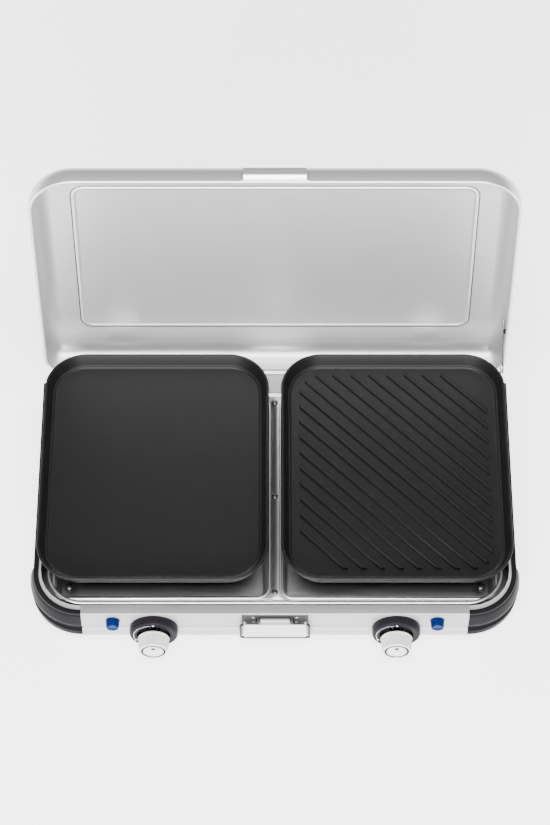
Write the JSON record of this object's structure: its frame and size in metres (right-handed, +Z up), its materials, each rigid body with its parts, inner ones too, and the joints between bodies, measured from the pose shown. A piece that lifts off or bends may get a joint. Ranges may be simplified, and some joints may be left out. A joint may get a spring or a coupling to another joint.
{
  "type": "folding camp grill",
  "caption": "Suitcase-style gas camp grill: hinged lid with stay, latch, lift-off cooking plates over burners, gas knobs and spark buttons.",
  "frame": {"origin": "middle of the object's footprint, on the surface that the feet stand on", "axes": "+Z up, +X to the right seen from the front, -Y towards the user"},
  "size_m": [0.6052, 0.4773, 0.4051],
  "materials": {
    "base_paint": "satin",
    "front_paint": "satin",
    "tray_steel": "brushed",
    "lid_steel": "satin",
    "fitting_steel": "satin",
    "wire_steel": "polished",
    "black_trim": "satin",
    "bumper_grey": "glossy",
    "plate_coat": "matte",
    "support_enamel": "matte",
    "burner_alloy": "satin",
    "brass": "satin",
    "knob_white": "satin",
    "button_blue": "glossy",
    "latch_white": "satin",
    "ceramic": "satin",
    "lead_rubber": "matte",
    "foot_rubber": "matte"
  },
  "bodies": {
    "base": {"bottom_shell": "base_paint", "burner_body_left": "burner_alloy", "burner_body_right": "burner_alloy", "burner_cap_left": "support_enamel", "burner_cap_right": "support_enamel", "cooktop_tray": "tray_steel", "edge_trim_left": "black_trim", "edge_trim_right": "black_trim", "foot_front_left": "foot_rubber", "foot_front_right": "foot_rubber", "foot_rear_left": "foot_rubber", "foot_rear_right": "foot_rubber", "front_bumper_left": "bumper_grey", "front_bumper_right": "bumper_grey", "front_panel": "front_paint", "gas_inlet": "brass", "gas_manifold": "fitting_steel", "gas_valve_left": "brass", "gas_valve_right": "brass", "hinge_bracket_left": "fitting_steel", "hinge_bracket_right": "fitting_steel", "hinge_pin_left": "wire_steel", "hinge_pin_right": "wire_steel", "igniter_barrel_left": "black_trim", "igniter_barrel_right": "black_trim", "ignition_lead_left": "lead_rubber", "ignition_lead_right": "lead_rubber", "knob_bezel_left": "bumper_grey", "knob_bezel_right": "bumper_grey", "latch_bracket": "latch_white", "latch_pin": "black_trim", "pan_support_left": "support_enamel", "pan_support_right": "support_enamel", "rear_rail": "base_paint", "spark_electrode_left": "ceramic", "spark_electrode_right": "ceramic", "stay_post": "fitting_steel", "tray_screw_front": "wire_steel", "tray_screw_front_left": "wire_steel", "tray_screw_front_right": "wire_steel", "tray_screw_middle": "wire_steel", "tray_screw_rear": "wire_steel"},
    "lid": {"lid_shell": "lid_steel", "lid_catch": "fitting_steel", "lid_hinge_arm_left": "fitting_steel", "lid_hinge_arm_right": "fitting_steel", "stay_clip": "black_trim"},
    "stay": {"lid_stay": "wire_steel"},
    "latch_lever": {"latch_lever": "latch_white"},
    "latch_bail": {"latch_bail": "wire_steel"},
    "plate_left": {"griddle_plate_left": "plate_coat"},
    "plate_right": {"grill_plate_right": "plate_coat"},
    "knob_push_left": {"knob_spring_left": "wire_steel"},
    "knob_left": {"knob_left": "knob_white", "valve_spindle_left": "wire_steel"},
    "igniter_button_left": {"igniter_button_left": "button_blue"},
    "knob_push_right": {"knob_spring_right": "wire_steel"},
    "knob_right": {"knob_right": "knob_white", "valve_spindle_right": "wire_steel"},
    "igniter_button_right": {"igniter_button_right": "button_blue"}
  },
  "joints": [
    {"name": "lid_hinge", "type": "hinge", "parent": "base", "child": "lid", "pos_m": [0, 0.15438, 0.0482], "axis": [-1, 0, 0], "range_deg": [-94.5, 0]},
    {"name": "stay_pivot", "type": "hinge", "parent": "base", "child": "stay", "pos_m": [0.2937, 0.15398, 0.0656], "axis": [-1, 0, 0], "range_deg": [-121.13, 0]},
    {"name": "latch_lever_hinge", "type": "hinge", "parent": "base", "child": "latch_lever", "pos_m": [0, -0.21112, 0.063], "axis": [-1, 0, 0], "range_deg": [0, 110]},
    {"name": "latch_bail_hinge", "type": "hinge", "parent": "latch_lever", "child": "latch_bail", "pos_m": [0, -0.21312, 0.056], "axis": [1, 0, 0], "range_deg": [-199.9, 0]},
    {"name": "knob_push_left", "type": "slide", "parent": "base", "child": "knob_push_left", "axis": [0, 1, 0], "range_m": [0, 0.0025], "stiffness_N_per_m": 900},
    {"name": "knob_turn_left", "type": "hinge", "parent": "knob_push_left", "child": "knob_left", "pos_m": [-0.1485, -0.21162, 0.037], "axis": [0, -1, 0], "range_deg": [0, 200]},
    {"name": "igniter_press_left", "type": "slide", "parent": "base", "child": "igniter_button_left", "axis": [0, 1, 0], "range_m": [0, 0.005], "stiffness_N_per_m": 700},
    {"name": "plate_lift_left", "type": "slide", "parent": "base", "child": "plate_left", "axis": [0, 0, 1], "range_m": [0, 0.08]},
    {"name": "knob_push_right", "type": "slide", "parent": "base", "child": "knob_push_right", "axis": [0, 1, 0], "range_m": [0, 0.0025], "stiffness_N_per_m": 900},
    {"name": "knob_turn_right", "type": "hinge", "parent": "knob_push_right", "child": "knob_right", "pos_m": [0.1485, -0.21162, 0.037], "axis": [0, -1, 0], "range_deg": [0, 200]},
    {"name": "igniter_press_right", "type": "slide", "parent": "base", "child": "igniter_button_right", "axis": [0, 1, 0], "range_m": [0, 0.005], "stiffness_N_per_m": 700},
    {"name": "plate_lift_right", "type": "slide", "parent": "base", "child": "plate_right", "axis": [0, 0, 1], "range_m": [0, 0.08]}
  ],
  "couplings": [
    {"joint": "stay_pivot", "follows": "lid_hinge", "ratio": 1.2797}
  ]
}
